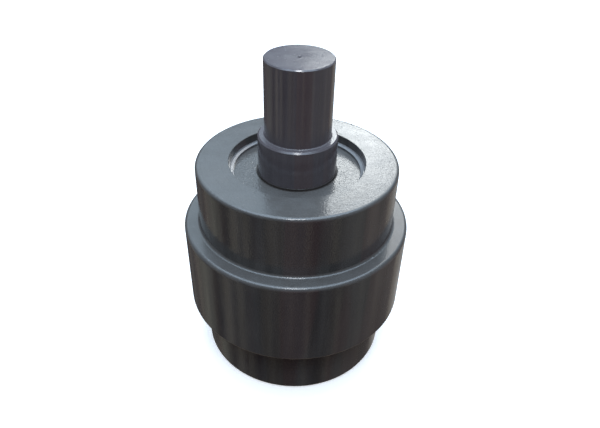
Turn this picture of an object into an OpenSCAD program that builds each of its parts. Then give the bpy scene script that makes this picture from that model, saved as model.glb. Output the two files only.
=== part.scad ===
// Track roller with a single free shaft end, standing on the closed end of its shell.
// The roller axis is +Z. The origin is the centre of the lower end face.
// Millimetres throughout.

/* [Shell] */
// Length of the shell along the roller axis
shell_len = 228; // [205:1:280]
// Diameter of the two treads that carry the chain rails
tread_d = 202; // [185:1:260]
// Width of each tread
tread_w = 66; // [45:1:80]
// Height of the centre rim above the treads
rim_h = 16; // [8:0.5:30]
// Radius on the outer edge of each tread
tread_edge_r = 3.5; // [1:0.5:6]
// Radius on the upper edge of the centre rim
rim_edge_r = 4; // [1:0.5:6]
// Radius in the corner between a tread and the rim, and height of the rim seat
tread_foot_r = 3; // [1:0.5:5]
// Bevel on the lower edge of the centre rim
rim_bevel = 1; // [0.5:0.5:3]

/* [Shaft] */
// Diameter of the shaft where it runs in the bushes
shaft_d = 78; // [65:1:96]
// Step from the running diameter down to the clamped journal, on the radius
journal_step = 6.5; // [3:0.5:10]
// Length of the clamped journal
journal_len = 75.5; // [50:0.5:110]
// Height of the shaft shoulder above the upper end face of the shell
shoulder_h = 28.5; // [15:0.5:50]
// Bevel on the shoulder edge
shoulder_bevel = 1.5; // [0.5:0.5:3]
// Bevel on the free end and radius at the journal foot
journal_edge = 1; // [0.5:0.5:2]
// Diameter of the centre hole in the free end
centre_hole_d = 3; // [3:0.5:8]
// Depth of the centre hole
centre_hole_depth = 6; // [4:1:15]
// Diameter of the oil gallery along the shaft
gallery_d = 8; // [5:1:12]
// Diameter of the oil passage across the shaft
cross_hole_d = 6; // [4:1:8]

/* [Bushes] */
// Wall of a bush
bush_wall = 6; // [4:0.5:10]
// Width of a bush flange beyond the bush
bush_flange_w = 9; // [5:0.5:12]
// Thickness of a bush flange
bush_flange_t = 5; // [3:0.5:8]
// Oil room between the two bushes
bush_gap = 26; // [12:1:40]
// Depth of the oil room in the shell wall
oil_room_depth = 5; // [2:0.5:10]

/* [Thrust plate] */
// Thickness of the plate bolted to the lower end of the shaft
thrust_plate_t = 10; // [6:0.5:14]
// Number of bolts that hold the plate
bolt_count = 3; // [2:1:4]
// Thread diameter of the bolts
bolt_d = 12; // [8:1:14]
// Length of a bolt under its head
bolt_len = 35; // [28:1:50]
// Height of a bolt head
bolt_head_h = 7.5; // [5:0.5:10]
// Width of a bolt head across its flats
bolt_head_af = 18; // [13:1:21]
// Thickness of a spring washer
washer_t = 2.5; // [1.5:0.5:4]
// Distance from the bolt centres out to the shaft surface
bolt_edge = 17; // [12:1:20]

/* [Metal face seal] */
// Height of one seal ring
seal_ring_h = 10; // [9.5:0.5:14]
// Thickness of the seal ring flange
seal_flange_t = 2.2; // [1.5:0.1:2.5]
// Width of the flange beyond the back of the ring
seal_flange_w = 6; // [3:0.5:6.5]
// Wall of the seal ring at its back
seal_ring_wall = 3.5; // [2.5:0.5:6]
// Room between the shaft and the seal rings
seal_shaft_room = 5; // [3:0.5:8]
// Room for the toric ring between the seal ring and its seat
toric_room = 7; // [6.5:0.1:7]
// Slope of the seats that hold the toric ring, in degrees
seat_slope = 10; // [5:1:12]
// Wall around each toric ring at its back
seat_wall = 4; // [3:0.5:8]

/* [Seal collar] */
// Thickness of the collar base that is pinned to the shaft
collar_base_t = 9; // [9:0.5:14]
// Diameter of the dowel pin
dowel_d = 4; // [3:0.5:4]
// Depth of the dowel pin in the shaft
dowel_depth = 5; // [3:0.5:8]
// Cord diameter of the o-ring in the collar bore
collar_cord_d = 2; // [1.5:0.1:2.2]

/* [Seal cover] */
// Depth from the upper end face of the shell to the snap ring
recess_depth = 8.5; // [5:0.5:15]
// Thickness of the cover over the seal
cover_plate_t = 6; // [6:0.5:10]
// Thickness of the cover at its seat in the shell
cover_band_t = 8; // [7:0.5:12]
// Width of the ledge in the shell that the cover sits on
cover_ledge_w = 7; // [5:0.5:10]
// Room between the seal seats and the shell
seal_shell_room = 2.5; // [2:0.5:6]
// Cord diameter of the o-rings around the covers
cover_cord_d = 3; // [2:0.5:3.5]
// Height of the dust lip above the cover
lip_h = 2; // [2:0.5:6]
// Width of the dust lip where it stands on the cover
lip_w = 1; // [1:0.1:2.4]

/* [Snap rings] */
// Thickness of a snap ring
snap_ring_t = 3.5; // [2:0.5:5]
// Width of a snap ring that shows inside its groove
snap_ring_land = 4.5; // [3:0.1:7]
// Flat part of that width, next to the groove
snap_ring_flat = 2; // [0.5:0.1:2.5]
// Slope of the rest of that width, in degrees
snap_ring_slope = 20; // [5:1:25]
// Depth of a snap ring groove
groove_depth = 2.8; // [1.5:0.1:3.5]
// Opening between the ends of a snap ring
snap_ring_gap = 14; // [8:1:24]
// Radius of the lugs at the ends of a snap ring
lug_r = 5.5; // [4:0.5:7]
// Diameter of the plier hole in each lug
plier_hole_d = 3; // [2:0.5:4]

/* [End cover] */
// Depth from the lower end face of the shell to the snap ring
end_recess_depth = 8; // [4:0.5:15]
// Thickness of the end cover
end_cover_t = 10; // [7:0.5:14]
// Width of the ledge in the shell that the end cover sits on
end_ledge_w = 5; // [3:0.5:8]
// Room between the bush flange and the end chamber wall
end_room = 3; // [2:0.5:6]
// Room between the end cover and the bolt heads
head_room = 3; // [2.5:0.5:10]
// Thread diameter of the oil plug
plug_d = 16; // [12:1:20]
// Height of the oil plug head
plug_head_h = 6.5; // [4:0.5:7]
// Width of the oil plug head across its flats
plug_head_af = 22; // [18:1:30]
// Thickness of the sealing washer under the plug head
plug_washer_t = 1.5; // [1:0.5:2]

/* [Clearances] */
// Running clearance between the shaft and the bushes, on the radius
running_gap = 0.05; // [0.02:0.01:0.1]
// Clearance of pressed, screwed and seated pieces, on the radius
seated_gap = 0.02; // [0.01:0.01:0.05]
// End play between a bush flange and the thrust face beside it
thrust_gap = 0.3; // [0.1:0.05:0.5]
// Oil film between the two seal faces
seal_film = 0.05; // [0.02:0.01:0.1]
// Clearance between the dust lip and the shaft
lip_gap = 0.1; // [0.05:0.01:0.3]

/* [Hidden] */
$fn = 128;

// How far a cutting shape runs past what it cuts
past = 1;

// Outside of the shell
tread_r = tread_d / 2;
rim_r = tread_r + rim_h;
rim_top = shell_len - tread_w;
rim_seat_r = tread_r + tread_foot_r;

// Radii, from the shaft out
shaft_r = shaft_d / 2;
journal_r = shaft_r - journal_step;
bush_r = shaft_r + bush_wall;
bush_flange_r = bush_r + bush_flange_w;
oil_room_r = bush_r + oil_room_depth;
seal_inner_r = shaft_r + seal_shaft_room;
seal_back_r = seal_inner_r + seal_ring_wall;
seal_flange_r = seal_back_r + seal_flange_w;
seat_back_r = seal_back_r + toric_room;
seat_outer_r = seat_back_r + seat_wall;
seal_chamber_r = max(seat_outer_r, bush_flange_r) + seal_shell_room;
cover_bore_r = seal_chamber_r + cover_ledge_w;
end_chamber_r = bush_flange_r + end_room;
end_bore_r = end_chamber_r + end_ledge_w;

// Heights at the closed end, from the floor up
end_ring_z = end_recess_depth;
end_cover_z = end_ring_z + snap_ring_t;
end_ledge_z = end_cover_z + end_cover_t;
bolt_head_z = end_ledge_z + head_room;
washer_z = bolt_head_z + bolt_head_h;
thrust_plate_z = washer_z + washer_t;
shaft_end_z = thrust_plate_z + thrust_plate_t;
lower_flange_z = shaft_end_z + thrust_gap;
lower_seat_z = lower_flange_z + bush_flange_t;

// Heights at the open end, from the end face down
cover_ring_z = shell_len - recess_depth - snap_ring_t;
cover_face_z = cover_ring_z;
cover_ledge_z = cover_face_z - cover_band_t;
seal_back_gap = 0.5;
seal_pocket_h = seal_ring_h + seal_back_gap;
seal_face_z = cover_face_z - cover_plate_t - seal_pocket_h;
collar_floor_z = seal_face_z - seal_pocket_h;
collar_z = collar_floor_z - collar_base_t;
upper_flange_z = collar_z - thrust_gap - bush_flange_t;
upper_seat_z = upper_flange_z;

// The bushes share the room between their two seats
bush_len = (upper_seat_z - lower_seat_z - bush_gap) / 2;
oil_room_z = lower_seat_z + bush_len;
oil_room_mid_z = oil_room_z + bush_gap / 2;
oil_relief = 3;

// Shaft heights
shoulder_z = shell_len + shoulder_h;
shaft_top_z = shoulder_z + journal_len;

// Face seal section, with the seal face at height 0 and the back of the ring above it
toric_mid_h = (seal_flange_t + seal_pocket_h) / 2;
toric_slack = 0.03;
toric_cord_r = toric_room / 2 * cos(seat_slope) - toric_slack;
seat_mouth_h = 1.5;
seal_face_w = 3;
seal_face_relief = 0.6;
seal_edge_r = 0.8;

// O-ring grooves are a little wider and deeper than the cord
cord_room = 0.1;
cover_groove = cover_cord_d + cord_room;
collar_groove = collar_cord_d + cord_room;
collar_groove_h = 0.9;

// Dust lip section
lip_body_w = 5;
lip_body_t = 3;
lip_body_drop = 1;
lip_bore_room = 2.2;
lip_top_w = 0.7;
lip_round = 0.4;

// Bolts, dowel and plug
bolt_circle_r = shaft_r - bolt_edge;
bolt_hole_room = 0.5;
bolt_hole_spare = 3;
thrust_plate_r = bush_flange_r - 1;
thrust_plate_edge = 1;
plate_oil_hole_r = gallery_d / 2 + 1;
washer_w = 4;
washer_slit = 1.5;
dowel_h = 5.8;
dowel_short = 1.5;
plug_reach = 1.5;
plug_washer_w = 4.5;
plug_socket_af = 10;
plug_socket_depth = 4;
gallery_top_z = oil_room_mid_z + gallery_d;
centre_cone_h = 0.5;
bush_bevel = 1;
cover_bevel = 0.6;
bore_bevel = 0.4;

// Sections are drawn with x as the radius and y as the height.
// side = [+-1, +-1] says which way a corner points.

// Cutter that rounds an outer corner
module round_corner(at, r, side) {
  translate([at.x - side.x * r, at.y - side.y * r])
    difference() {
      translate([side.x > 0 ? 0 : -(r + past), side.y > 0 ? 0 : -(r + past)])
        square(r + past);
      circle(r);
    }
}

// Cutter that bevels an outer corner at 45 degrees
module bevel_corner(at, c, side) {
  translate(at)
    polygon([
      [side.x * past, -side.y * (c + past)],
      [side.x * past, side.y * past],
      [-side.x * (c + past), side.y * past]
    ]);
}

// Material that fills an inner corner with a round
module fill_corner(at, r, side) {
  translate(at)
    difference() {
      translate([side.x > 0 ? -past : -r, side.y > 0 ? -past : -r])
        square(r + past);
      translate([side.x * r, side.y * r])
        circle(r);
    }
}

// Rectangle in a section, from one radius to another and one height to another
module band(r0, r1, z0, z1) {
  translate([r0, z0])
    square([r1 - r0, z1 - z0]);
}

// Ring with a round cord
module o_ring(mid_r, z, cord_r) {
  translate([0, 0, z])
    rotate_extrude()
      translate([mid_r, 0])
        circle(cord_r);
}

// Copies its children evenly around the axis, the first one on +Y
module around(count) {
  for (i = [0 : count - 1])
    rotate([0, 0, 90 + i * 360 / count])
      children();
}

// Hexagon prism with both of its end edges turned round
module hex_head(af, h) {
  corner_r = af / 2 / cos(30);
  turned = corner_r - af / 2;
  intersection() {
    cylinder(r = corner_r, h = h, $fn = 6);
    rotate_extrude()
      difference() {
        band(0, corner_r + turned, 0, h);
        bevel_corner([corner_r, 0], turned / 2, [1, -1]);
        bevel_corner([corner_r, h], turned / 2, [1, 1]);
      }
  }
}

// Outside and bore of the shell, as one section
module shell_section() {
  groove_r = cover_bore_r + groove_depth;
  end_groove_r = end_bore_r + groove_depth;
  difference() {
    union() {
      band(0, tread_r, 0, shell_len);
      band(0, rim_seat_r, tread_w, rim_top);
      fill_corner([tread_r, rim_top], tread_foot_r, [1, 1]);
      fill_corner([tread_r, tread_w], tread_foot_r, [1, -1]);
    }
    round_corner([tread_r, shell_len], tread_edge_r, [1, 1]);
    round_corner([tread_r, 0], tread_edge_r, [1, -1]);
    band(0, end_bore_r, -past, end_ledge_z);
    band(0, end_groove_r, end_ring_z - seated_gap, end_cover_z + seated_gap);
    band(0, end_chamber_r, end_ledge_z - past, lower_seat_z);
    band(0, bush_r, 0, shell_len);
    band(0, oil_room_r, oil_room_z + oil_relief, oil_room_z + bush_gap - oil_relief);
    band(0, seal_chamber_r, upper_seat_z, shell_len);
    band(0, cover_bore_r, cover_ledge_z, shell_len + past);
    band(0, groove_r, cover_ring_z - seated_gap, cover_ring_z + snap_ring_t + seated_gap);
    bevel_corner([end_bore_r, 0], bore_bevel, [-1, -1]);
    bevel_corner([cover_bore_r, shell_len], bore_bevel, [-1, 1]);
  }
}

// Forged shell with two treads, the raised seat of the rim between them and all of its bores
module roller_shell() {
  color([0.22, 0.23, 0.24])
    rotate_extrude()
      shell_section();
}

// Ring shrunk on the seat in the middle of the shell, flush with the ends of the seat
module centre_rim() {
  color([0.22, 0.23, 0.24])
    rotate_extrude()
      difference() {
        band(rim_seat_r + seated_gap, rim_r, tread_w, rim_top);
        round_corner([rim_r, rim_top], rim_edge_r, [1, 1]);
        bevel_corner([rim_r, tread_w], rim_bevel, [1, -1]);
      }
}

// Stepped shaft with its oil passages and bolt holes
module shaft() {
  color([0.24, 0.24, 0.26])
    difference() {
      rotate_extrude()
        difference() {
          union() {
            band(0, shaft_r, shaft_end_z, shoulder_z);
            band(0, journal_r, shoulder_z - past, shaft_top_z);
            fill_corner([journal_r, shoulder_z], journal_edge, [1, 1]);
          }
          bevel_corner([shaft_r, shoulder_z], shoulder_bevel, [1, 1]);
          bevel_corner([shaft_r, shaft_end_z], journal_edge, [1, -1]);
          bevel_corner([journal_r, shaft_top_z], journal_edge, [1, 1]);
        }
      translate([0, 0, shaft_top_z - centre_hole_depth])
        cylinder(d = centre_hole_d, h = centre_hole_depth + past);
      translate([0, 0, shaft_top_z - centre_cone_h])
        cylinder(r1 = centre_hole_d / 2, r2 = centre_hole_d / 2 + centre_cone_h + past,
                 h = centre_cone_h + past);
      translate([0, 0, shaft_end_z - past])
        cylinder(d = gallery_d, h = gallery_top_z - shaft_end_z + past);
      translate([0, -shaft_r - past, oil_room_mid_z])
        rotate([-90, 0, 0])
          cylinder(d = cross_hole_d, h = shaft_d + 2 * past);
      around(bolt_count)
        translate([bolt_circle_r, 0, shaft_end_z - past])
          cylinder(r = bolt_d / 2 + seated_gap,
                   h = bolt_len - thrust_plate_t - washer_t + bolt_hole_spare + past);
      translate([0, shaft_r - dowel_depth, collar_z + dowel_h])
        rotate([-90, 0, 0])
          cylinder(r = dowel_d / 2 + seated_gap, h = dowel_depth + past);
    }
}

// Flanged bush, with its flange at the given end
module flanged_bush(z0, flange_z) {
  bore_r = shaft_r + running_gap;
  body_r = bush_r - seated_gap;
  z1 = z0 + bush_len;
  flange_mid = flange_z + bush_flange_t / 2;
  inner_end = flange_mid > z0 + bush_len / 2 ? z0 : z1;
  inner_side = inner_end == z0 ? -1 : 1;
  rotate_extrude()
    difference() {
      union() {
        band(bore_r, body_r, min(z0, flange_z), max(z1, flange_z + bush_flange_t));
        band(bore_r, bush_flange_r, flange_z, flange_z + bush_flange_t);
      }
      bevel_corner([body_r, inner_end], bush_bevel, [1, inner_side]);
      bevel_corner([bore_r, inner_end], bush_bevel, [-1, inner_side]);
      bevel_corner([bush_flange_r, flange_z], bush_bevel, [1, -1]);
      bevel_corner([bush_flange_r, flange_z + bush_flange_t], bush_bevel, [1, 1]);
    }
}

// Bronze bush under the seal
module upper_bush() {
  color([0.72, 0.55, 0.3])
    flanged_bush(upper_seat_z - bush_len, upper_flange_z);
}

// Bronze bush above the thrust plate
module lower_bush() {
  color([0.72, 0.55, 0.3])
    flanged_bush(lower_seat_z, lower_flange_z);
}

// Half of the metal face seal: a ring with a flat face, a flange and a sloped back
module seal_ring_section() {
  slope_r = seal_back_r + (seal_ring_h - seal_flange_t) * tan(seat_slope);
  difference() {
    polygon([
      [seal_inner_r, seal_face_relief],
      [seal_flange_r - seal_face_w, 0],
      [seal_flange_r, 0],
      [seal_flange_r, seal_flange_t],
      [slope_r, seal_flange_t],
      [seal_back_r, seal_ring_h],
      [seal_inner_r, seal_ring_h]
    ]);
    round_corner([seal_flange_r, seal_flange_t], seal_edge_r, [1, 1]);
  }
}

// Pocket for half of the seal, open towards the seal face
module seal_pocket_section() {
  mouth_h = -past;
  mouth_r = seat_back_r + (seal_ring_h - mouth_h) * tan(seat_slope);
  floor_r = seat_back_r - seal_back_gap * tan(seat_slope);
  polygon([
    [0, mouth_h],
    [mouth_r, mouth_h],
    [floor_r, seal_pocket_h],
    [0, seal_pocket_h]
  ]);
}

// Middle radius of the toric ring
function toric_mid_r() = seal_back_r + (seal_ring_h - toric_mid_h) * tan(seat_slope) + toric_room / 2;

// Seal ring that turns with the cover
module rotating_seal_ring() {
  color([0.62, 0.63, 0.65])
    translate([0, 0, seal_face_z + seal_film / 2])
      rotate_extrude()
        seal_ring_section();
}

// Seal ring that stands still in the collar
module fixed_seal_ring() {
  color([0.62, 0.63, 0.65])
    translate([0, 0, seal_face_z - seal_film / 2])
      mirror([0, 0, 1])
        rotate_extrude()
          seal_ring_section();
}

// Rubber ring that presses the turning seal ring down
module rotating_toric_ring() {
  color([0.08, 0.08, 0.08])
    o_ring(toric_mid_r(), seal_face_z + seal_film / 2 + toric_mid_h, toric_cord_r);
}

// Rubber ring that presses the fixed seal ring up
module fixed_toric_ring() {
  color([0.08, 0.08, 0.08])
    o_ring(toric_mid_r(), seal_face_z - seal_film / 2 - toric_mid_h, toric_cord_r);
}

// Steel collar on the shaft with the seat of the fixed seal half
module seal_collar() {
  bore_r = shaft_r + seated_gap;
  groove_z = collar_z + collar_groove_h;
  color([0.45, 0.46, 0.48])
    difference() {
      rotate_extrude()
        difference() {
          band(bore_r, seat_outer_r, collar_z, seal_face_z - seat_mouth_h);
          translate([0, seal_face_z - seal_film / 2])
            mirror([0, 1])
              seal_pocket_section();
          band(0, shaft_r + collar_groove, groove_z, groove_z + collar_groove);
          bevel_corner([seat_outer_r, collar_z], bush_bevel, [1, -1]);
        }
      translate([0, 0, collar_z + dowel_h])
        rotate([-90, 0, 0])
          cylinder(r = dowel_d / 2 + seated_gap, h = seat_outer_r + past);
    }
}

// Rubber o-ring between the collar and the shaft
module collar_o_ring() {
  color([0.08, 0.08, 0.08])
    o_ring(shaft_r + collar_groove / 2, collar_z + collar_groove_h + collar_groove / 2, collar_cord_d / 2);
}

// Steel pin that stops the collar turning and sliding
module collar_dowel_pin() {
  pin_end_r = shaft_r - dowel_depth;
  color([0.55, 0.56, 0.58])
    translate([0, pin_end_r, collar_z + dowel_h])
      rotate([-90, 0, 0])
        rotate_extrude()
          difference() {
            band(0, dowel_d / 2, 0, seat_outer_r - dowel_short - pin_end_r);
            bevel_corner([dowel_d / 2, 0], bore_bevel, [1, -1]);
            bevel_corner([dowel_d / 2, seat_outer_r - dowel_short - pin_end_r], bore_bevel, [1, 1]);
          }
}

// Cover that closes the seal and carries its turning half
module seal_cover() {
  outer_r = cover_bore_r - seated_gap;
  groove_z = cover_ledge_z + (cover_band_t - cover_groove) / 2;
  lip_z = cover_face_z - lip_body_drop;
  color([0.42, 0.45, 0.47])
    rotate_extrude()
      difference() {
        union() {
          band(0, outer_r, cover_ledge_z, cover_face_z);
          band(0, seat_outer_r, seal_face_z + seat_mouth_h, cover_face_z);
        }
        translate([0, seal_face_z + seal_film / 2])
          seal_pocket_section();
        band(0, shaft_r + lip_bore_room, 0, shell_len);
        band(0, shaft_r + lip_body_w, lip_z - lip_body_t, lip_z);
        band(outer_r - cover_groove, outer_r + past, groove_z, groove_z + cover_groove);
        bevel_corner([outer_r, cover_ledge_z], cover_bevel, [1, -1]);
        bevel_corner([outer_r, cover_face_z], cover_bevel, [1, 1]);
      }
}

// Rubber o-ring between the seal cover and the shell
module seal_cover_o_ring() {
  color([0.08, 0.08, 0.08])
    o_ring(cover_bore_r - seated_gap - cover_groove / 2, cover_ledge_z + cover_band_t / 2, cover_cord_d / 2);
}

// Rubber wiper in the bore of the seal cover
module dust_lip() {
  body_top = cover_face_z - lip_body_drop;
  lip_top = cover_face_z + lip_h;
  color([0.05, 0.05, 0.05])
    rotate_extrude()
      difference() {
        union() {
          band(shaft_r + lip_gap, shaft_r + lip_body_w - seated_gap,
               body_top - lip_body_t + seated_gap, body_top - seated_gap);
          polygon([
            [shaft_r + lip_gap, body_top - past],
            [shaft_r + lip_bore_room - seated_gap, body_top - past],
            [shaft_r + lip_bore_room - seated_gap, cover_face_z],
            [shaft_r + lip_w, cover_face_z],
            [shaft_r + lip_top_w, lip_top],
            [shaft_r + lip_gap, lip_top]
          ]);
        }
        round_corner([shaft_r + lip_top_w, lip_top], lip_round, [1, 1]);
      }
}

// Snap ring seated at height 0, with its inner edge sloped on the side that shows.
// Both of its ends carry a lug with a plier hole.
module snap_ring(bore_r) {
  inner_r = bore_r - snap_ring_land;
  slope_w = snap_ring_land - snap_ring_flat;
  lug_x = snap_ring_gap / 2 + lug_r;
  lug_y = inner_r - lug_r / 3;
  difference() {
    union() {
      rotate_extrude()
        difference() {
          band(inner_r, bore_r + groove_depth - seated_gap, 0, snap_ring_t);
          polygon([
            [inner_r - past, snap_ring_t - (slope_w + past) * tan(snap_ring_slope)],
            [inner_r + slope_w, snap_ring_t],
            [inner_r + slope_w, snap_ring_t + past],
            [inner_r - past, snap_ring_t + past]
          ]);
        }
      for (side = [-1, 1])
        translate([side * lug_x, lug_y])
          cylinder(r = lug_r, h = snap_ring_t);
    }
    translate([-snap_ring_gap / 2, 0, -past])
      cube([snap_ring_gap, bore_r + groove_depth + past, snap_ring_t + 2 * past]);
    for (side = [-1, 1])
      translate([side * lug_x, lug_y, -past])
        cylinder(d = plier_hole_d, h = snap_ring_t + 2 * past);
  }
}

// Snap ring that holds the seal cover
module seal_cover_snap_ring() {
  color([0.4, 0.42, 0.44])
    translate([0, 0, cover_ring_z])
      snap_ring(cover_bore_r);
}

// Snap ring that holds the end cover
module end_cover_snap_ring() {
  color([0.4, 0.42, 0.44])
    translate([0, 0, end_ring_z + snap_ring_t])
      mirror([0, 0, 1])
        snap_ring(end_bore_r);
}

// Disc bolted to the shaft, which keeps the roller on it
module thrust_plate() {
  color([0.5, 0.51, 0.53])
    difference() {
      rotate_extrude()
        difference() {
          band(plate_oil_hole_r, thrust_plate_r, thrust_plate_z, shaft_end_z);
          bevel_corner([thrust_plate_r, thrust_plate_z], thrust_plate_edge, [1, -1]);
          bevel_corner([thrust_plate_r, shaft_end_z], thrust_plate_edge, [1, 1]);
        }
      around(bolt_count)
        translate([bolt_circle_r, 0, thrust_plate_z - past])
          cylinder(r = bolt_d / 2 + bolt_hole_room, h = thrust_plate_t + 2 * past);
    }
}

// Hexagon bolts that hold the thrust plate
module thrust_plate_bolts() {
  color([0.35, 0.35, 0.36])
    around(bolt_count)
      translate([bolt_circle_r, 0, bolt_head_z]) {
        hex_head(bolt_head_af, bolt_head_h);
        translate([0, 0, bolt_head_h - past])
          rotate_extrude()
            difference() {
              band(0, bolt_d / 2, 0, bolt_len + past);
              bevel_corner([bolt_d / 2, bolt_len + past], bush_bevel, [1, 1]);
            }
      }
}

// Split spring washers under the bolt heads
module bolt_spring_washers() {
  inner_r = bolt_d / 2 + bolt_hole_room;
  color([0.3, 0.3, 0.31])
    around(bolt_count)
      translate([bolt_circle_r, 0, washer_z])
        difference() {
          cylinder(r = bolt_d / 2 + washer_w, h = washer_t);
          translate([0, 0, -past])
            cylinder(r = inner_r, h = washer_t + 2 * past);
          translate([0, -washer_slit / 2, -past])
            cube([bolt_d, washer_slit, washer_t + 2 * past]);
        }
}

// Disc that closes the shell and carries the oil plug
module end_cover() {
  outer_r = end_bore_r - seated_gap;
  groove_z = end_cover_z + (end_cover_t - cover_groove) / 2;
  color([0.25, 0.26, 0.27])
    rotate_extrude()
      difference() {
        band(plug_d / 2 + seated_gap, outer_r, end_cover_z, end_ledge_z);
        band(outer_r - cover_groove, outer_r + past, groove_z, groove_z + cover_groove);
        bevel_corner([outer_r, end_cover_z], cover_bevel, [1, -1]);
        bevel_corner([outer_r, end_ledge_z], cover_bevel, [1, 1]);
      }
}

// Rubber o-ring between the end cover and the shell
module end_cover_o_ring() {
  color([0.08, 0.08, 0.08])
    o_ring(end_bore_r - seated_gap - cover_groove / 2, end_cover_z + end_cover_t / 2, cover_cord_d / 2);
}

// Threaded plug in the oil hole of the end cover
module oil_plug() {
  head_z = end_cover_z - plug_washer_t - plug_head_h;
  thread_top_z = end_ledge_z + plug_reach;
  color([0.5, 0.5, 0.5])
    difference() {
      union() {
        translate([0, 0, head_z])
          hex_head(plug_head_af, plug_head_h);
        translate([0, 0, head_z + plug_head_h - past])
          rotate_extrude()
            difference() {
              band(0, plug_d / 2, 0, thread_top_z - head_z - plug_head_h + past);
              bevel_corner([plug_d / 2, thread_top_z - head_z - plug_head_h + past], bush_bevel, [1, 1]);
            }
      }
      translate([0, 0, head_z - past])
        cylinder(r = plug_socket_af / 2 / cos(30), h = plug_socket_depth + past, $fn = 6);
    }
}

// Copper washer under the head of the oil plug
module oil_plug_washer() {
  color([0.7, 0.4, 0.25])
    translate([0, 0, end_cover_z - plug_washer_t])
      rotate_extrude()
        band(plug_d / 2 + seated_gap, plug_d / 2 + plug_washer_w, 0, plug_washer_t);
}

roller_shell();
centre_rim();
shaft();
upper_bush();
lower_bush();
seal_cover();
seal_cover_o_ring();
seal_cover_snap_ring();
dust_lip();
rotating_seal_ring();
rotating_toric_ring();
fixed_seal_ring();
fixed_toric_ring();
seal_collar();
collar_o_ring();
collar_dowel_pin();
thrust_plate();
thrust_plate_bolts();
bolt_spring_washers();
end_cover();
end_cover_o_ring();
end_cover_snap_ring();
oil_plug();
oil_plug_washer();
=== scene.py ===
import math

import bpy
from mathutils import Matrix, Vector


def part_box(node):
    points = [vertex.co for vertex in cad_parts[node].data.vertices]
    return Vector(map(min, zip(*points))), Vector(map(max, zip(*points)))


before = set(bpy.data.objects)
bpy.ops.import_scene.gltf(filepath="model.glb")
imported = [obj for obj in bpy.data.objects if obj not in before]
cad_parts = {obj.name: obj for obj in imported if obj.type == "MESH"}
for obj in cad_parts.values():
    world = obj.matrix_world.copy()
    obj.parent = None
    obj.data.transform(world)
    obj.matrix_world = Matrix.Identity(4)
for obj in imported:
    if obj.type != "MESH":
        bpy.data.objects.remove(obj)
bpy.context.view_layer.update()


# ---------------------------------------------------------------- roller shell
# Forged steel body, turned all over: an upper tread, the seat of the centre rim and a
# lower tread. It is sprayed after assembly with gloss grey paint, thick enough to flow,
# so the turning marks only just show through and dust nibs stand in the coat.

def link(tree, source, target):
    """Joins two sockets of a node tree."""
    tree.links.new(source, target)


def new_node(tree, kind, **settings):
    """Adds a node and sets its properties."""
    made = tree.nodes.new(kind)
    for name, value in settings.items():
        setattr(made, name, value)
    return made


def maths(tree, operation, a, b=None, clamp=False):
    """Adds a Math node and returns its result."""
    made = new_node(tree, "ShaderNodeMath", operation=operation, use_clamp=clamp)
    for socket, value in zip(made.inputs, (a, b)):
        if value is None:
            continue
        if isinstance(value, (int, float)):
            socket.default_value = value
        else:
            link(tree, value, socket)
    return made.outputs[0]


def noise(tree, vector, scale, detail=2.0, roughness=0.5):
    """Adds a Noise Texture on a vector and returns its value."""
    made = new_node(tree, "ShaderNodeTexNoise")
    made.inputs["Scale"].default_value = scale
    made.inputs["Detail"].default_value = detail
    made.inputs["Roughness"].default_value = roughness
    link(tree, vector, made.inputs["Vector"])
    return made.outputs["Fac"]


def step(tree, value, start, end, low=0.0, high=1.0):
    """Goes smoothly from one number to another between two values."""
    made = new_node(tree, "ShaderNodeMapRange", interpolation_type="SMOOTHSTEP")
    link(tree, value, made.inputs["Value"])
    made.inputs["From Min"].default_value = start
    made.inputs["From Max"].default_value = end
    made.inputs["To Min"].default_value = low
    made.inputs["To Max"].default_value = high
    return made.outputs[0]


def lay(tree, base, share, colour):
    """Lays a colour over the base colour by a share."""
    made = new_node(tree, "ShaderNodeMix", data_type="RGBA")
    link(tree, share, made.inputs["Factor"])
    if isinstance(base, tuple):
        made.inputs["A"].default_value = (*base, 1.0)
    else:
        link(tree, base, made.inputs["A"])
    made.inputs["B"].default_value = (*colour, 1.0)
    return made.outputs["Result"]


def new_group(name, inputs, outputs):
    """Starts a node group that takes and gives numbers."""
    tree = bpy.data.node_groups.new(name, "ShaderNodeTree")
    for label, value in inputs.items():
        socket = tree.interface.new_socket(label, in_out="INPUT", socket_type="NodeSocketFloat")
        socket.default_value = value
    for label in outputs:
        tree.interface.new_socket(label, in_out="OUTPUT", socket_type="NodeSocketFloat")
    return tree, new_node(tree, "NodeGroupInput"), new_node(tree, "NodeGroupOutput")


def turning_marks_group():
    """Fine rings left by the lathe tool, level on a wall and round on an end face."""
    mm_per_metre = 1000.0
    drift_scale, drift_floor = 14.0, 0.5
    tree, given, result = new_group(
        "turning marks", {"Pitch mm": 0.8, "Depth mm": 0.01}, ["Height mm", "Mask"]
    )
    place = new_node(tree, "ShaderNodeTexCoord").outputs["Object"]
    parts = new_node(tree, "ShaderNodeSeparateXYZ")
    link(tree, place, parts.inputs[0])
    x_squared = maths(tree, "MULTIPLY", parts.outputs[0], parts.outputs[0])
    y_squared = maths(tree, "MULTIPLY", parts.outputs[1], parts.outputs[1])
    radius = maths(tree, "SQRT", maths(tree, "ADD", x_squared, y_squared))
    # along the section of the turned piece, one unit is one pitch
    per_pitch = maths(tree, "DIVIDE", mm_per_metre, given.outputs["Pitch mm"])
    along = new_node(tree, "ShaderNodeCombineXYZ")
    link(tree, maths(tree, "MULTIPLY", radius, per_pitch), along.inputs[0])
    link(tree, maths(tree, "MULTIPLY", parts.outputs[2], per_pitch), along.inputs[1])
    rings = noise(tree, along.outputs[0], 1.0, detail=3.0, roughness=0.6)
    drift = noise(tree, place, drift_scale, detail=1.0)
    mask = maths(tree, "MULTIPLY", rings, maths(tree, "ADD", drift, drift_floor))
    height = maths(tree, "MULTIPLY", mask, given.outputs["Depth mm"])
    link(tree, mask, result.inputs["Mask"])
    link(tree, height, result.inputs["Height mm"])
    return tree


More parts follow.
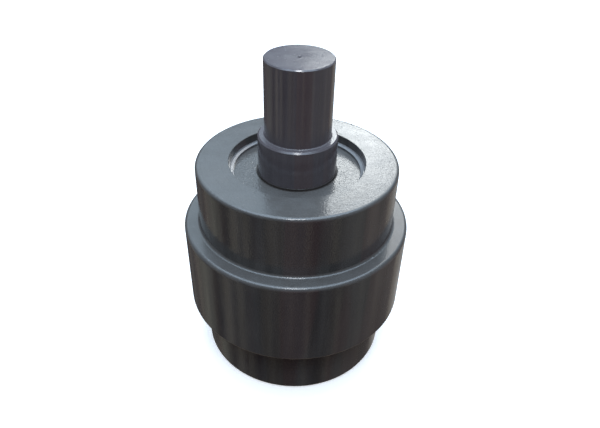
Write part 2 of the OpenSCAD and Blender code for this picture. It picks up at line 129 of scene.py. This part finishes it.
def sprayed_coat_group():
    """Orange peel, slow waves and dust nibs in a sprayed coat."""
    mm_per_metre = 1000.0
    peel_scale, wave_scale, cloud_scale = 520.0, 90.0, 24.0
    nib_reach = 0.35
    tree, given, result = new_group(
        "sprayed coat",
        {"Peel mm": 0.05, "Wave mm": 0.08, "Nib mm": 0.1, "Nib size mm": 1.6, "Nib share": 0.05},
        ["Height mm", "Nibs", "Clouds"],
    )
    place = new_node(tree, "ShaderNodeTexCoord").outputs["Object"]
    peel = noise(tree, place, peel_scale, detail=2.0)
    wave = noise(tree, place, wave_scale, detail=2.0)
    clouds = noise(tree, place, cloud_scale, detail=5.0, roughness=0.65)
    cells = new_node(tree, "ShaderNodeTexVoronoi", feature="F1")
    cell_scale = maths(tree, "DIVIDE", mm_per_metre, given.outputs["Nib size mm"])
    link(tree, place, cells.inputs["Vector"])
    link(tree, cell_scale, cells.inputs["Scale"])
    outward = maths(tree, "DIVIDE", cells.outputs["Distance"], nib_reach)
    dot = maths(tree, "SUBTRACT", 1.0, outward, clamp=True)
    chance = new_node(tree, "ShaderNodeSeparateColor")
    link(tree, cells.outputs["Color"], chance.inputs[0])
    chosen = maths(tree, "LESS_THAN", chance.outputs[0], given.outputs["Nib share"])
    nibs = maths(tree, "MULTIPLY", dot, chosen)
    height = maths(tree, "MULTIPLY", peel, given.outputs["Peel mm"])
    height = maths(tree, "ADD", height, maths(tree, "MULTIPLY", wave, given.outputs["Wave mm"]))
    height = maths(tree, "ADD", height, maths(tree, "MULTIPLY", nibs, given.outputs["Nib mm"]))
    link(tree, height, result.inputs["Height mm"])
    link(tree, nibs, result.inputs["Nibs"])
    link(tree, clouds, result.inputs["Clouds"])
    return tree


def painted_reflection_streaks_group():
    """Darker and warmer streaks down a wall: a painted reflection of the surroundings that the
    gloss mirrors as upright streaks.
    """
    wander, warm_scale = 4.0, 0.6
    tree, given, result = new_group("upright streaks", {"Count": 5.0}, ["Mask", "Warm reflection"])
    place = new_node(tree, "ShaderNodeTexCoord").outputs["Object"]
    level = new_node(tree, "ShaderNodeVectorMath", operation="MULTIPLY")
    link(tree, place, level.inputs[0])
    level.inputs[1].default_value = (1.0, 1.0, 0.0)
    around = new_node(tree, "ShaderNodeVectorMath", operation="NORMALIZE")
    link(tree, level.outputs[0], around.inputs[0])
    spun = new_node(tree, "ShaderNodeVectorMath", operation="SCALE")
    link(tree, around.outputs[0], spun.inputs[0])
    link(tree, given.outputs["Count"], spun.inputs["Scale"])
    # the streaks wander a little with height
    slow = new_node(tree, "ShaderNodeVectorMath", operation="SCALE")
    link(tree, place, slow.inputs[0])
    slow.inputs["Scale"].default_value = wander
    joined = new_node(tree, "ShaderNodeVectorMath", operation="ADD")
    link(tree, spun.outputs[0], joined.inputs[0])
    link(tree, slow.outputs[0], joined.inputs[1])
    # painted reflection: darker upright streaks stand for the surroundings mirrored in the walls
    streak = noise(tree, joined.outputs[0], 1.0, detail=3.0, roughness=0.55)
    streak = step(tree, streak, 0.35, 0.65)
    # painted reflection: a warm tint in patches of the streaks, for warm things mirrored in the
    # walls
    warm_reflection = noise(tree, joined.outputs[0], warm_scale, detail=1.0)
    warm_reflection = step(tree, warm_reflection, 0.52, 0.62)
    facing = new_node(tree, "ShaderNodeSeparateXYZ")
    link(tree, new_node(tree, "ShaderNodeNewGeometry").outputs["Normal"], facing.inputs[0])
    wall = step(tree, maths(tree, "ABSOLUTE", facing.outputs[2]), 0.2, 0.7, 1.0, 0.0)
    link(tree, maths(tree, "MULTIPLY", streak, wall), result.inputs["Mask"])
    link(tree, maths(tree, "MULTIPLY", warm_reflection, wall), result.inputs["Warm reflection"])
    return tree


def settled_dust_group():
    """Fine dust that settles on what faces up, thicker in patches."""
    mm_per_metre = 1000.0
    tree, given, result = new_group("settled dust", {"Patch size mm": 30.0}, ["Mask"])
    place = new_node(tree, "ShaderNodeTexCoord").outputs["Object"]
    per_patch = maths(tree, "DIVIDE", mm_per_metre, given.outputs["Patch size mm"])
    scaled = new_node(tree, "ShaderNodeVectorMath", operation="SCALE")
    link(tree, place, scaled.inputs[0])
    link(tree, per_patch, scaled.inputs["Scale"])
    patches = noise(tree, scaled.outputs[0], 1.0, detail=6.0, roughness=0.7)
    patches = step(tree, patches, 0.3, 0.75)
    facing = new_node(tree, "ShaderNodeSeparateXYZ")
    link(tree, new_node(tree, "ShaderNodeNewGeometry").outputs["Normal"], facing.inputs[0])
    up = step(tree, facing.outputs[2], 0.5, 0.95)
    link(tree, maths(tree, "MULTIPLY", up, patches), result.inputs["Mask"])
    return tree


turning_marks = turning_marks_group()
sprayed_coat = sprayed_coat_group()
painted_reflection_streaks = painted_reflection_streaks_group()
settled_dust = settled_dust_group()


def place_group(tree, group, **values):
    """Places a node group in a material with its own values."""
    made = new_node(tree, "ShaderNodeGroup")
    made.node_tree = group
    for label, value in values.items():
        made.inputs[label.replace("_", " ")].default_value = value
    return made


def start_material(name, metallic=0.0):
    """Starts a material and gives back its tree and its shader."""
    made = bpy.data.materials.new(name)
    made.use_nodes = True
    shader = made.node_tree.nodes["Principled BSDF"]
    shader.inputs["Metallic"].default_value = metallic
    return made, made.node_tree, shader


def raise_surface(tree, shader, *heights):
    """Adds up heights in millimetres and gives them to the shader as a bump."""
    metres_per_mm = 0.001
    total = heights[0]
    for height in heights[1:]:
        total = maths(tree, "ADD", total, height)
    made = new_node(tree, "ShaderNodeBump")
    made.inputs["Distance"].default_value = metres_per_mm
    link(tree, total, made.inputs["Height"])
    link(tree, made.outputs["Normal"], shader.inputs["Normal"])


def grey_paint(name, pitch, depth, peel, shine, dark, light, warm_reflection, reflection_streak_share=0.75, highlight_line=None):
    """Gloss grey paint over turned steel. Shine is its lowest roughness. The streak share sets
    how dark the painted reflection streaks on its walls are.
    A highlight line, given as a height in metres and a width, is a painted highlight along an
    edge."""
    painted_reflection_dark = tuple(part * 0.62 for part in dark)
    warm_reflection_share = 0.4
    dust_colour, dust_share = (0.25, 0.27, 0.28), 0.12
    nib_colour, nib_share = (0.03, 0.03, 0.032), 0.8
    painted_highlight_colour = (0.20, 0.15, 0.11)
    cloud_dull, dust_dull, nib_dull, highlight_dull = 0.09, 0.08, 0.5, 0.6

    made, tree, shader = start_material(name)
    shader.inputs["Specular IOR Level"].default_value = 0.65
    marks = place_group(tree, turning_marks, Pitch_mm=pitch, Depth_mm=depth)
    coat = place_group(tree, sprayed_coat, Peel_mm=peel)
    streaks = place_group(tree, painted_reflection_streaks)
    dust = place_group(tree, settled_dust)
    clouds, nibs = coat.outputs["Clouds"], coat.outputs["Nibs"]

    tone = maths(tree, "MULTIPLY", clouds, maths(tree, "ADD", marks.outputs["Mask"], 0.5))
    colour = lay(tree, dark, tone, light)
    # painted reflection: the walls are darkened in streaks and tinted warm, in place of mirrored
    # surroundings
    dark_reflection_share = maths(tree, "MULTIPLY", streaks.outputs["Mask"], reflection_streak_share)
    colour = lay(tree, colour, dark_reflection_share, painted_reflection_dark)
    painted_warm_reflection = maths(tree, "MULTIPLY", streaks.outputs["Warm reflection"], warm_reflection_share)
    colour = lay(tree, colour, painted_warm_reflection, warm_reflection)
    dusty = maths(tree, "MULTIPLY", dust.outputs["Mask"], dust_share)
    colour = lay(tree, colour, dusty, dust_colour)
    colour = lay(tree, colour, maths(tree, "MULTIPLY", nibs, nib_share), nib_colour)
    dull = maths(tree, "MULTIPLY", nibs, nib_dull)
    # painted highlight: a lighter brown line, in patches, along the edge at this height, where
    # the edge catches the light
    if highlight_line:
        level, width = highlight_line
        parts = new_node(tree, "ShaderNodeSeparateXYZ")
        link(tree, new_node(tree, "ShaderNodeTexCoord").outputs["Object"], parts.inputs[0])
        away = maths(tree, "ABSOLUTE", maths(tree, "SUBTRACT", parts.outputs[2], level))
        on_line = step(tree, away, width * 0.5, width, 1.0, 0.0)
        painted_highlight = maths(tree, "MULTIPLY", on_line, step(tree, clouds, 0.35, 0.55))
        colour = lay(tree, colour, painted_highlight, painted_highlight_colour)
        dull = maths(tree, "ADD", dull, maths(tree, "MULTIPLY", painted_highlight, highlight_dull))
    link(tree, colour, shader.inputs["Base Color"])

    rough = step(tree, clouds, 0.3, 0.7, shine, shine + cloud_dull)
    rough = maths(tree, "ADD", rough, maths(tree, "MULTIPLY", dust.outputs["Mask"], dust_dull))
    rough = maths(tree, "ADD", rough, dull, clamp=True)
    link(tree, rough, shader.inputs["Roughness"])
    raise_surface(tree, shader, coat.outputs["Height mm"], marks.outputs["Height mm"])
    return made


def dress(node, material):
    """Gives a node of the model its material in every slot."""
    for slot in bpy.data.objects[node].material_slots:
        slot.material = material


dress("roller_shell", grey_paint(
    "grey_paint_on_shell", pitch=0.9, depth=0.012, peel=0.13, shine=0.10,
    dark=(0.074, 0.070, 0.068), light=(0.112, 0.107, 0.102), warm_reflection=(0.110, 0.068, 0.066),
))


# ---------------------------------------------------------------- centre rim
# Steel ring shrunk on the seat in the middle of the shell, painted together with it.
# # A thin lighter brown line along its sharp lower edge is a painted highlight, where that edge
# catches the light.

rim_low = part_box("centre_rim")[0]
# painted highlight line just above the rim's lower edge
highlight_height, highlight_width = rim_low.z + 0.0008, 0.0009
dress("centre_rim", grey_paint(
    "grey_paint_on_rim", pitch=0.9, depth=0.012, peel=0.07, shine=0.10,
    dark=(0.074, 0.070, 0.068), light=(0.112, 0.107, 0.102), warm_reflection=(0.110, 0.068, 0.066),
    highlight_line=(highlight_height, highlight_width),
))


# ---------------------------------------------------------------- shaft
# Ground steel shaft. Its free end steps down to the journal that the bracket clamps.
# The coat is thin here, so it is smoother and a little warmer in colour.

dress("shaft", grey_paint(
    "grey_paint_on_shaft", pitch=0.5, depth=0.02, peel=0.03, shine=0.11,
    dark=(0.100, 0.088, 0.100), light=(0.140, 0.127, 0.136), warm_reflection=(0.135, 0.088, 0.084),
    reflection_streak_share=0.3,
))


# ---------------------------------------------------------------- bushes
# Flanged bronze bushes, turned and bored, and pressed into the shell from both ends.
# The shaft runs in them in oil, which leaves brown stains on the metal.

def turned_metal(name, dark, light, rough, pitch, depth, stain, stained):
    """Bare turned metal, with the stains that oil and handling leave."""
    rough_below, rough_above = 0.08, 0.12
    film = 0.4
    made, tree, shader = start_material(name, metallic=1.0)
    marks = place_group(tree, turning_marks, Pitch_mm=pitch, Depth_mm=depth)
    coat = place_group(tree, sprayed_coat, Peel_mm=0.004, Wave_mm=0.01, Nib_mm=0.0)
    colour = lay(tree, dark, marks.outputs["Mask"], light)
    spots = step(tree, coat.outputs["Clouds"], 0.45, 0.7)
    colour = lay(tree, colour, maths(tree, "MULTIPLY", spots, stained), stain)
    link(tree, colour, shader.inputs["Base Color"])
    dulled = step(
        tree, marks.outputs["Mask"], 0.1, 0.8, rough - rough_below, rough + rough_above
    )
    link(tree, dulled, shader.inputs["Roughness"])
    covered = maths(tree, "MULTIPLY", spots, stained * film)
    link(tree, maths(tree, "SUBTRACT", 1.0, covered), shader.inputs["Metallic"])
    raise_surface(tree, shader, coat.outputs["Height mm"], marks.outputs["Height mm"])
    return made


bronze = turned_metal(
    "turned_bronze", (0.42, 0.25, 0.10), (0.62, 0.41, 0.18),
    rough=0.32, pitch=0.6, depth=0.015,
    stain=(0.20, 0.11, 0.05), stained=0.6,
)
dress("upper_bush", bronze)
dress("lower_bush", bronze)


# ---------------------------------------------------------------- seal cover
# Turned steel disc that closes the seal, held by a snap ring in a groove of the shell.
# Both are sprayed with the shell. The coat lies thick here and has a coarse orange peel.

cover_paint = grey_paint(
    "grey_paint_on_seal_cover", pitch=0.6, depth=0.008, peel=0.26, shine=0.08,
    dark=(0.074, 0.070, 0.068), light=(0.112, 0.107, 0.102), warm_reflection=(0.110, 0.068, 0.066),
)
dress("seal_cover", cover_paint)
# painted highlight: the snap ring gets the shell's grey paint made about twice as light, for the
# light its ledge catches
dress("seal_cover_snap_ring", grey_paint(
    "grey_paint_on_snap_rings_lightened_as_painted_highlight", pitch=0.4, depth=0.004, peel=0.05, shine=0.10,
    dark=(0.150, 0.148, 0.156), light=(0.205, 0.205, 0.212), warm_reflection=(0.160, 0.130, 0.135),
))


# ---------------------------------------------------------------- dust lip and o-rings
# Moulded nitrile rubber: the lip that wipes the shaft above the cover, the o-rings of the
# covers and of the collar, and the two toric rings that press the seal faces together.

def moulded_rubber(name, dark, light, rough):
    """Black moulded rubber with a fine skin and a bloom in patches."""
    bloom_colour, bloom_share = (0.05, 0.05, 0.052), 0.25
    rough_below, rough_above = 0.08, 0.1
    made, tree, shader = start_material(name)
    skin = place_group(tree, sprayed_coat, Peel_mm=0.02, Wave_mm=0.01, Nib_mm=0.02)
    dust = place_group(tree, settled_dust, Patch_size_mm=12.0)
    colour = lay(tree, dark, skin.outputs["Clouds"], light)
    bloom = maths(tree, "MULTIPLY", dust.outputs["Mask"], bloom_share)
    colour = lay(tree, colour, bloom, bloom_colour)
    link(tree, colour, shader.inputs["Base Color"])
    dulled = step(
        tree, skin.outputs["Clouds"], 0.3, 0.7, rough - rough_below, rough + rough_above
    )
    link(tree, dulled, shader.inputs["Roughness"])
    raise_surface(tree, shader, skin.outputs["Height mm"])
    return made


lip_rubber = moulded_rubber(
    "rubber_of_dust_lip", dark=(0.020, 0.016, 0.014), light=(0.040, 0.033, 0.030), rough=0.5,
)
ring_rubber = moulded_rubber(
    "rubber_of_rings", dark=(0.009, 0.009, 0.009), light=(0.022, 0.022, 0.023), rough=0.6,
)
dress("dust_lip", lip_rubber)
for ring in ("seal_cover_o_ring", "end_cover_o_ring", "collar_o_ring",
             "rotating_toric_ring", "fixed_toric_ring"):
    dress(ring, ring_rubber)


# ---------------------------------------------------------------- metal face seal
# Two cast iron rings with lapped faces that run on each other. One turns with the cover,
# the other stays with the collar on the shaft.

seal_iron = turned_metal(
    "lapped_cast_iron", (0.20, 0.20, 0.205), (0.36, 0.36, 0.37),
    rough=0.38, pitch=0.3, depth=0.006,
    stain=(0.12, 0.115, 0.11), stained=0.5,
)
dress("rotating_seal_ring", seal_iron)
dress("fixed_seal_ring", seal_iron)


# ---------------------------------------------------------------- collar and thrust plate
# Turned steel collar, held on the shaft by a dowel pin, and the plate at the closed end
# that takes the thrust. The plate is held by three black bolts on spring washers.

bare_steel = turned_metal(
    "turned_steel", (0.33, 0.33, 0.335), (0.52, 0.52, 0.53),
    rough=0.30, pitch=0.7, depth=0.012,
    stain=(0.16, 0.14, 0.12), stained=0.45,
)
black_steel = turned_metal(
    "blackened_steel", (0.035, 0.036, 0.040), (0.085, 0.086, 0.090),
    rough=0.42, pitch=0.9, depth=0.006,
    stain=(0.09, 0.06, 0.04), stained=0.25,
)
for turned in ("seal_collar", "collar_dowel_pin", "thrust_plate"):
    dress(turned, bare_steel)
dress("thrust_plate_bolts", black_steel)
dress("bolt_spring_washers", black_steel)


# ---------------------------------------------------------------- end cover and oil plug
# Turned steel disc that closes the lower end, with its snap ring, and the filling plug in
# its middle on a soft copper washer. All but the washer are painted.

end_paint = grey_paint(
    "grey_paint_on_end_cover", pitch=0.6, depth=0.010, peel=0.09, shine=0.10,
    dark=(0.085, 0.087, 0.092), light=(0.130, 0.134, 0.138), warm_reflection=(0.125, 0.085, 0.085),
)
copper = turned_metal(
    "pressed_copper", (0.48, 0.20, 0.10), (0.70, 0.32, 0.18),
    rough=0.30, pitch=0.5, depth=0.004,
    stain=(0.20, 0.10, 0.06), stained=0.6,
)
for painted in ("end_cover", "end_cover_snap_ring", "oil_plug"):
    dress(painted, end_paint)
dress("oil_plug_washer", copper)


# ---------------------------------------------------------------- floor and lights
# A plain pale floor, a small softbox above the viewer and a larger one far behind. The
# gloss paint mirrors a pale sky overhead and behind, and dark walls and ground.

def pale_floor():
    """A plain pale floor, which the paint does not mirror."""
    half, drop = 6.0, 0.0002
    pale, paler = (0.84, 0.84, 0.84), (0.88, 0.88, 0.88)
    speckle_scale, glow = 60.0, 0.45
    mesh = bpy.data.meshes.new("pale_floor")
    corners = [(-half, -half, 0), (half, -half, 0), (half, half, 0), (-half, half, 0)]
    mesh.from_pydata(corners, [], [(0, 1, 2, 3)])
    made = bpy.data.objects.new("pale_floor", mesh)
    bpy.context.scene.collection.objects.link(made)
    material, tree, shader = start_material("pale_floor")
    grain = new_node(tree, "ShaderNodeTexCoord").outputs["Object"]
    speckle = noise(tree, grain, speckle_scale, detail=3.0)
    colour = lay(tree, pale, speckle, paler)
    link(tree, colour, shader.inputs["Base Color"])
    shader.inputs["Roughness"].default_value = 0.9
    shader.inputs["Specular IOR Level"].default_value = 0.0
    shader.inputs["Emission Color"].default_value = (1.0, 1.0, 1.0, 1.0)
    shader.inputs["Emission Strength"].default_value = glow
    # seen from below it is clear, so that the lower end of the roller shows
    below = new_node(tree, "ShaderNodeNewGeometry").outputs["Backfacing"]
    either = new_node(tree, "ShaderNodeMixShader")
    link(tree, below, either.inputs[0])
    link(tree, shader.outputs[0], either.inputs[1])
    link(tree, new_node(tree, "ShaderNodeBsdfTransparent").outputs[0], either.inputs[2])
    link(tree, either.outputs[0], tree.nodes["Material Output"].inputs["Surface"])
    mesh.materials.append(material)
    made.location.z = -drop
    made.visible_glossy = False
    made.visible_diffuse = False


def softbox(name, place, aim, width, height, power, colour=(1.0, 1.0, 1.0)):
    """A rectangle of soft light."""
    lamp = bpy.data.lights.new(name, "AREA")
    lamp.shape = "RECTANGLE"
    lamp.size = width
    lamp.size_y = height
    lamp.energy = power
    lamp.color = colour
    made = bpy.data.objects.new(name, lamp)
    made.location = place
    made.rotation_mode = "QUATERNION"
    made.rotation_quaternion = (Vector(aim) - Vector(place)).to_track_quat("-Z", "Y")
    bpy.context.scene.collection.objects.link(made)


pale_floor()
softbox(
    "key_softbox", place=(0.0, -0.85, 2.1), aim=(0, 0, 0.25), width=0.45, height=0.45, power=9.0,
)
softbox(
    "rear_softbox", place=(0.50, 4.0, 2.42), aim=(0.50, 0, 2.42), width=0.85, height=0.90,
    power=15.5, colour=(0.95, 1.0, 1.0),
)


def surroundings():
    """Pale sky overhead and behind, dark walls, and a dark ground with upright streaks."""
    red_ground, blue_ground = (0.055, 0.02, 0.028), (0.03, 0.035, 0.055)
    near_ground = (0.02, 0.017, 0.02)
    standing, right_side, left_side = (0.50, 0.45, 0.37), (0.42, 0.40, 0.36), (0.50, 0.52, 0.43)
    right_rear, left_rear = (0.45, 0.44, 0.42), (0.22, 0.225, 0.20)
    walls, rear_sky, bright_sky = (0.10, 0.10, 0.11), (1.15, 1.46, 1.72), (3.0, 3.1, 3.15)
    overhead_sky = (2.4, 3.05, 3.8)
    bright_way = Vector((0.27, 0.77, 0.60)).normalized()
    faint_share = 0.5

    world = bpy.data.worlds.new("surroundings")
    world.use_nodes = True
    bpy.context.scene.world = world
    tree = world.node_tree
    tree.nodes.clear()

    def times(share, factor):
        return maths(tree, "MULTIPLY", share, factor)

    way = new_node(tree, "ShaderNodeTexCoord").outputs["Generated"]
    parts = new_node(tree, "ShaderNodeSeparateXYZ")
    link(tree, way, parts.inputs[0])
    height = parts.outputs[2]
    level = new_node(tree, "ShaderNodeVectorMath", operation="MULTIPLY")
    link(tree, way, level.inputs[0])
    level.inputs[1].default_value = (1, 1, 0)
    around = new_node(tree, "ShaderNodeVectorMath", operation="NORMALIZE")
    link(tree, level.outputs[0], around.inputs[0])
    side = new_node(tree, "ShaderNodeSeparateXYZ")
    link(tree, around.outputs[0], side.inputs[0])
    to_right, to_back = side.outputs[0], side.outputs[1]
    to_left = times(to_right, -1.0)

    # ground, with the things that stand around as upright streaks
    tint = step(tree, noise(tree, around.outputs[0], 4.3, detail=2.0), 0.44, 0.56)
    streak = noise(tree, around.outputs[0], 5.0, detail=3.0, roughness=0.6)
    at_right = step(tree, to_right, 0.6, 0.95)
    at_left = times(step(tree, to_left, 0.8, 0.97), step(tree, to_back, 0.05, 0.4))
    behind_right = times(step(tree, to_right, 0.3, 0.5), step(tree, to_back, 0.6, 0.85))
    behind_left = times(step(tree, to_left, 0.45, 0.62), step(tree, to_back, 0.6, 0.8))
    near = step(tree, times(height, -1.0), 0.60, 0.80)
    ground = lay(tree, red_ground, tint, blue_ground)
    ground = lay(tree, ground, step(tree, streak, 0.48, 0.62), standing)
    ground = lay(tree, ground, times(at_right, faint_share), right_side)
    ground = lay(tree, ground, times(near, faint_share), near_ground)
    ground = lay(tree, ground, behind_right, right_rear)
    ground = lay(tree, ground, times(behind_left, faint_share), left_rear)
    ground = lay(tree, ground, times(at_left, faint_share), left_side)

    # dark walls up to the pale sky behind and overhead, with a bright part behind at right
    sky = lay(tree, ground, step(tree, height, -0.1, 0.1), walls)
    rear = times(step(tree, height, 0.41, 0.49), step(tree, to_back, 0.2, 0.9))
    sky = lay(tree, sky, rear, rear_sky)
    toward = new_node(tree, "ShaderNodeVectorMath", operation="DOT_PRODUCT")
    link(tree, way, toward.inputs[0])
    toward.inputs[1].default_value = bright_way
    sky = lay(tree, sky, step(tree, toward.outputs["Value"], 0.95, 0.985), bright_sky)
    sky = lay(tree, sky, step(tree, height, 0.74, 0.88), overhead_sky)

    # seen directly, all of it is plain white
    plain = new_node(tree, "ShaderNodeBackground")
    plain.inputs["Color"].default_value = (1.0, 1.0, 1.0, 1.0)
    mirrored = new_node(tree, "ShaderNodeBackground")
    link(tree, sky, mirrored.inputs["Color"])
    both = new_node(tree, "ShaderNodeMixShader")
    link(tree, new_node(tree, "ShaderNodeLightPath").outputs["Is Camera Ray"], both.inputs[0])
    link(tree, mirrored.outputs[0], both.inputs[1])
    link(tree, plain.outputs[0], both.inputs[2])
    link(tree, both.outputs[0], new_node(tree, "ShaderNodeOutputWorld").inputs["Surface"])


surroundings()
bpy.context.scene.view_settings.view_transform = "Standard"


# ---------------------------------------------------------------- camera
# Stands about half a metre in front of the roller, higher than its shaft end, and looks
# down at it. It leans by a degree and a half, as a camera held by hand does.

def camera():
    """Sets up the camera and makes it the scene's own."""
    eye_height = 0.506
    eye_distance = 0.4728
    down = math.radians(36.164)
    turn = math.radians(0.497)
    roll = math.radians(1.535)
    level_view = math.pi / 2
    data = bpy.data.cameras.new("camera")
    data.lens = 32.98
    data.sensor_width = 36.0
    data.clip_start = 0.01
    made = bpy.data.objects.new("camera", data)
    made.matrix_world = (
        Matrix.Translation((0.0, -eye_distance, eye_height))
        @ Matrix.Rotation(-turn, 4, "Z")
        @ Matrix.Rotation(level_view - down, 4, "X")
        @ Matrix.Rotation(roll, 4, "Z")
    )
    bpy.context.scene.collection.objects.link(made)
    bpy.context.scene.camera = made


camera()
